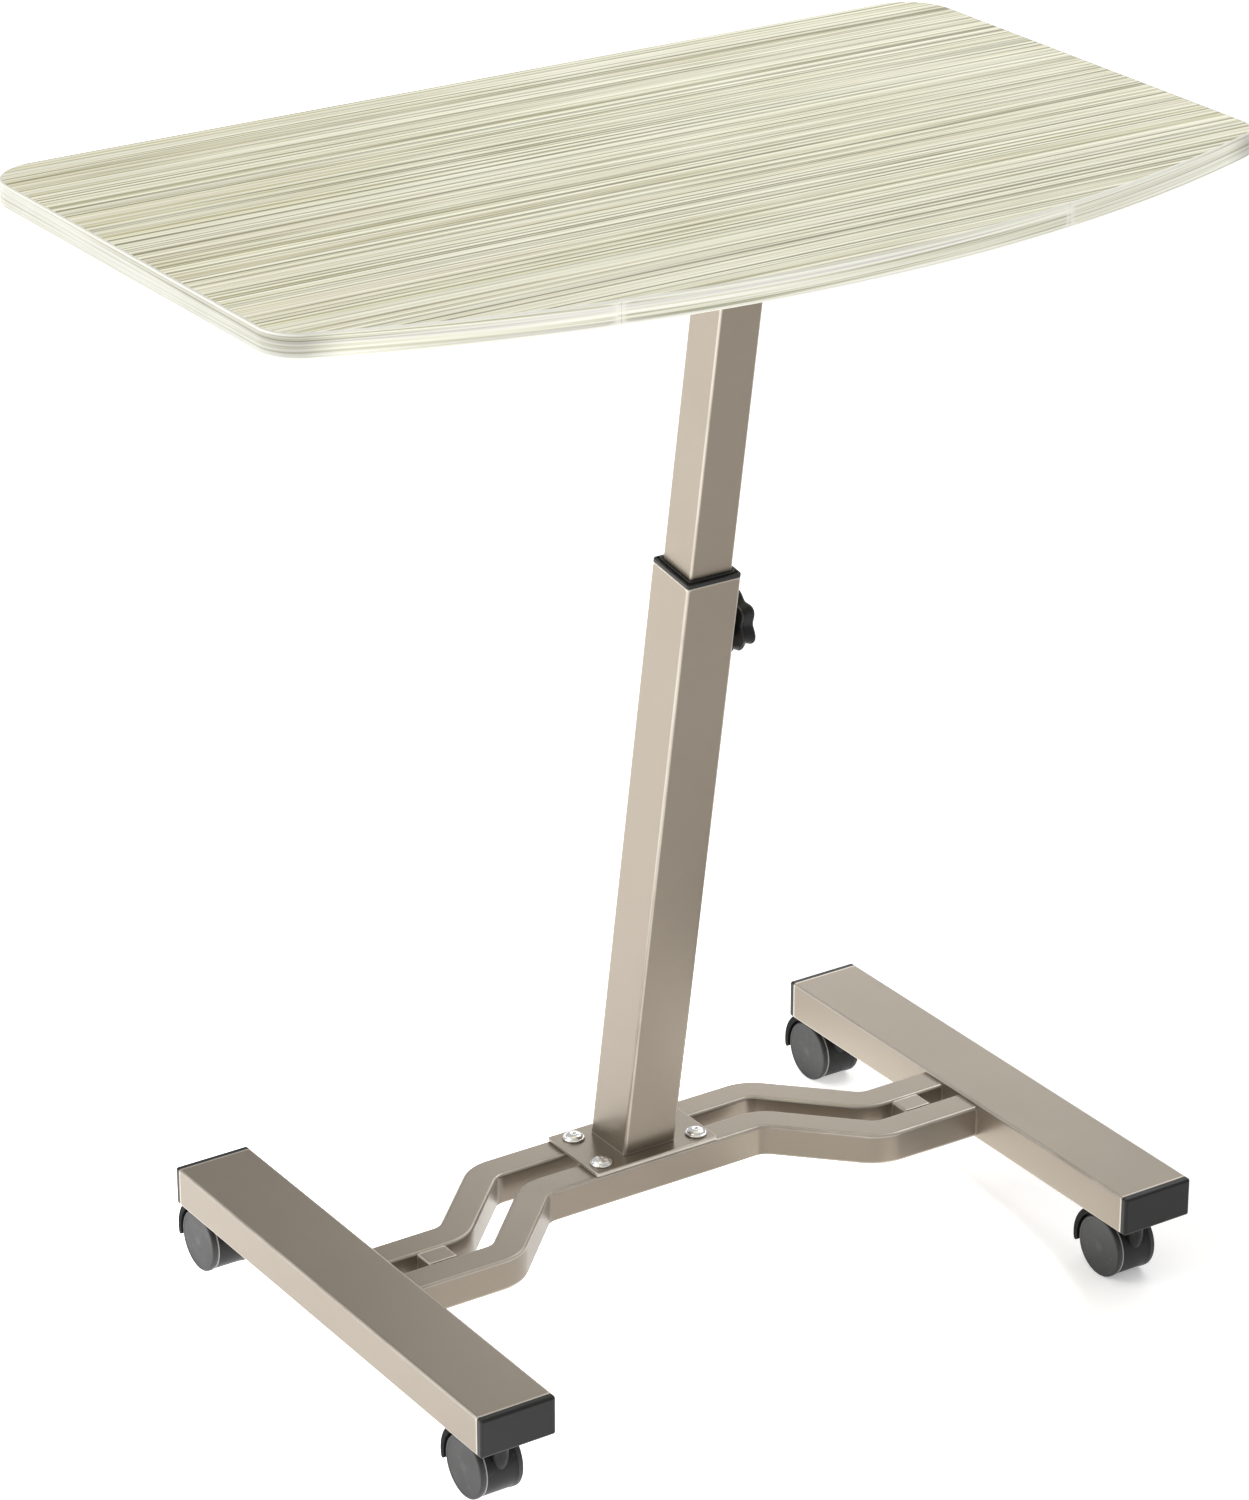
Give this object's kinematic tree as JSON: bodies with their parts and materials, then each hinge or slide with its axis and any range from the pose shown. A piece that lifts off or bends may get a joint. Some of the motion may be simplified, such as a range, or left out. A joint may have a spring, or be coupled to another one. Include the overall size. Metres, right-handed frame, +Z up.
{
  "type": "overbed table",
  "caption": "Overbed table with a bow-fronted laminate top on a leaning telescopic mast, H-shaped steel base and twin-wheel casters.",
  "frame": {"origin": "on the floor, under the middle of the whole object", "axes": "+X along the crossbars to the knob's side, -Y towards the user and the curved long edge, +Z up"},
  "size_m": [0.785, 0.482, 0.848],
  "materials": {
    "laminate": "pale cream laminate with fine olive grain lines along the length, satin",
    "edge_band": "pale cream edge band with fine olive stripes, satin",
    "powder_coat": "champagne metallic powder coat, satin",
    "black_plastic": "black moulded plastic, fine grain",
    "caster_plastic": "black moulded nylon, satin",
    "wheel_plastic": "dark grey moulded nylon, satin",
    "zinc_steel": "zinc plated",
    "bright_steel": "bright nickel plated"
  },
  "bodies": {
    "base": {"leg_tube_left": "powder_coat", "leg_tube_right": "powder_coat", "crossbar_front": "powder_coat", "crossbar_back": "powder_coat", "crossbar_spacer_left": "powder_coat", "crossbar_spacer_right": "powder_coat", "mast_base_plate": "powder_coat", "outer_mast_tube": "powder_coat", "collar_bushing": "black_plastic", "clamp_boss": "powder_coat", "end_cap_fl": "black_plastic", "end_cap_fr": "black_plastic", "end_cap_bl": "black_plastic", "end_cap_br": "black_plastic", "base_bolt_fl": "bright_steel", "base_bolt_fr": "bright_steel", "base_bolt_bl": "bright_steel", "base_bolt_br": "bright_steel", "base_nut_fl": "zinc_steel", "base_nut_fr": "zinc_steel", "base_nut_bl": "zinc_steel", "base_nut_br": "zinc_steel", "caster_stem_fl": "zinc_steel", "caster_stem_fr": "zinc_steel", "caster_stem_bl": "zinc_steel", "caster_stem_br": "zinc_steel", "caster_nut_fl": "zinc_steel", "caster_nut_fr": "zinc_steel", "caster_nut_bl": "zinc_steel", "caster_nut_br": "zinc_steel"},
    "top": {"tabletop_panel": "laminate", "tabletop_edge_band": "edge_band", "top_mounting_plate": "powder_coat", "inner_mast_tube": "powder_coat", "inner_tube_guide": "black_plastic", "top_screw_fl": "zinc_steel", "top_screw_fr": "zinc_steel", "top_screw_bl": "zinc_steel", "top_screw_br": "zinc_steel"},
    "clamp_screw": {"clamp_screw": "zinc_steel"},
    "clamp_knob": {"clamp_knob": "black_plastic"},
    "caster_fl": {"caster_body_fl": "caster_plastic", "caster_axle_fl": "zinc_steel"},
    "wheel_fl_left": {"wheel_fl_left": "wheel_plastic"},
    "wheel_fl_right": {"wheel_fl_right": "wheel_plastic"},
    "caster_fr": {"caster_body_fr": "caster_plastic", "caster_axle_fr": "zinc_steel"},
    "wheel_fr_left": {"wheel_fr_left": "wheel_plastic"},
    "wheel_fr_right": {"wheel_fr_right": "wheel_plastic"},
    "caster_bl": {"caster_body_bl": "caster_plastic", "caster_axle_bl": "zinc_steel"},
    "wheel_bl_left": {"wheel_bl_left": "wheel_plastic"},
    "wheel_bl_right": {"wheel_bl_right": "wheel_plastic"},
    "caster_br": {"caster_body_br": "caster_plastic", "caster_axle_br": "zinc_steel"},
    "wheel_br_left": {"wheel_br_left": "wheel_plastic"},
    "wheel_br_right": {"wheel_br_right": "wheel_plastic"}
  },
  "joints": [
    {"name": "height_slide", "type": "slide", "parent": "base", "child": "top", "axis": [0, -0.164, 0.9865], "range_m": [-0.245, 0]},
    {"name": "clamp_travel", "type": "slide", "parent": "base", "child": "clamp_screw", "axis": [1, 0, 0], "range_m": [0, 0.0025]},
    {"name": "clamp_turn", "type": "hinge", "parent": "clamp_screw", "child": "clamp_knob", "pos_m": [0.035, -0.03497, 0.51868], "axis": [1, 0, 0], "range_deg": [0, 720]},
    {"name": "caster_fl_swivel", "type": "hinge", "parent": "base", "child": "caster_fl", "pos_m": [-0.2753, -0.2151, 0.045], "axis": [0, 0, 1], "continuous": true},
    {"name": "wheel_fl_left_spin", "type": "hinge", "parent": "caster_fl", "child": "wheel_fl_left", "pos_m": [-0.2753, -0.196, 0.0236], "axis": [1, 0, 0], "continuous": true},
    {"name": "wheel_fl_right_spin", "type": "hinge", "parent": "caster_fl", "child": "wheel_fl_right", "pos_m": [-0.2753, -0.196, 0.0236], "axis": [1, 0, 0], "continuous": true},
    {"name": "caster_fr_swivel", "type": "hinge", "parent": "base", "child": "caster_fr", "pos_m": [0.2753, -0.2151, 0.045], "axis": [0, 0, 1], "continuous": true},
    {"name": "wheel_fr_left_spin", "type": "hinge", "parent": "caster_fr", "child": "wheel_fr_left", "pos_m": [0.2753, -0.196, 0.0236], "axis": [1, 0, 0], "continuous": true},
    {"name": "wheel_fr_right_spin", "type": "hinge", "parent": "caster_fr", "child": "wheel_fr_right", "pos_m": [0.2753, -0.196, 0.0236], "axis": [1, 0, 0], "continuous": true},
    {"name": "caster_bl_swivel", "type": "hinge", "parent": "base", "child": "caster_bl", "pos_m": [-0.2753, 0.1576, 0.045], "axis": [0, 0, 1], "continuous": true},
    {"name": "wheel_bl_left_spin", "type": "hinge", "parent": "caster_bl", "child": "wheel_bl_left", "pos_m": [-0.2753, 0.1767, 0.0236], "axis": [1, 0, 0], "continuous": true},
    {"name": "wheel_bl_right_spin", "type": "hinge", "parent": "caster_bl", "child": "wheel_bl_right", "pos_m": [-0.2753, 0.1767, 0.0236], "axis": [1, 0, 0], "continuous": true},
    {"name": "caster_br_swivel", "type": "hinge", "parent": "base", "child": "caster_br", "pos_m": [0.2753, 0.1576, 0.045], "axis": [0, 0, 1], "continuous": true},
    {"name": "wheel_br_left_spin", "type": "hinge", "parent": "caster_br", "child": "wheel_br_left", "pos_m": [0.2753, 0.1767, 0.0236], "axis": [1, 0, 0], "continuous": true},
    {"name": "wheel_br_right_spin", "type": "hinge", "parent": "caster_br", "child": "wheel_br_right", "pos_m": [0.2753, 0.1767, 0.0236], "axis": [1, 0, 0], "continuous": true}
  ],
  "couplings": [
    {"joint": "clamp_turn", "follows": "clamp_travel", "rad_per_m": 5026.5}
  ]
}
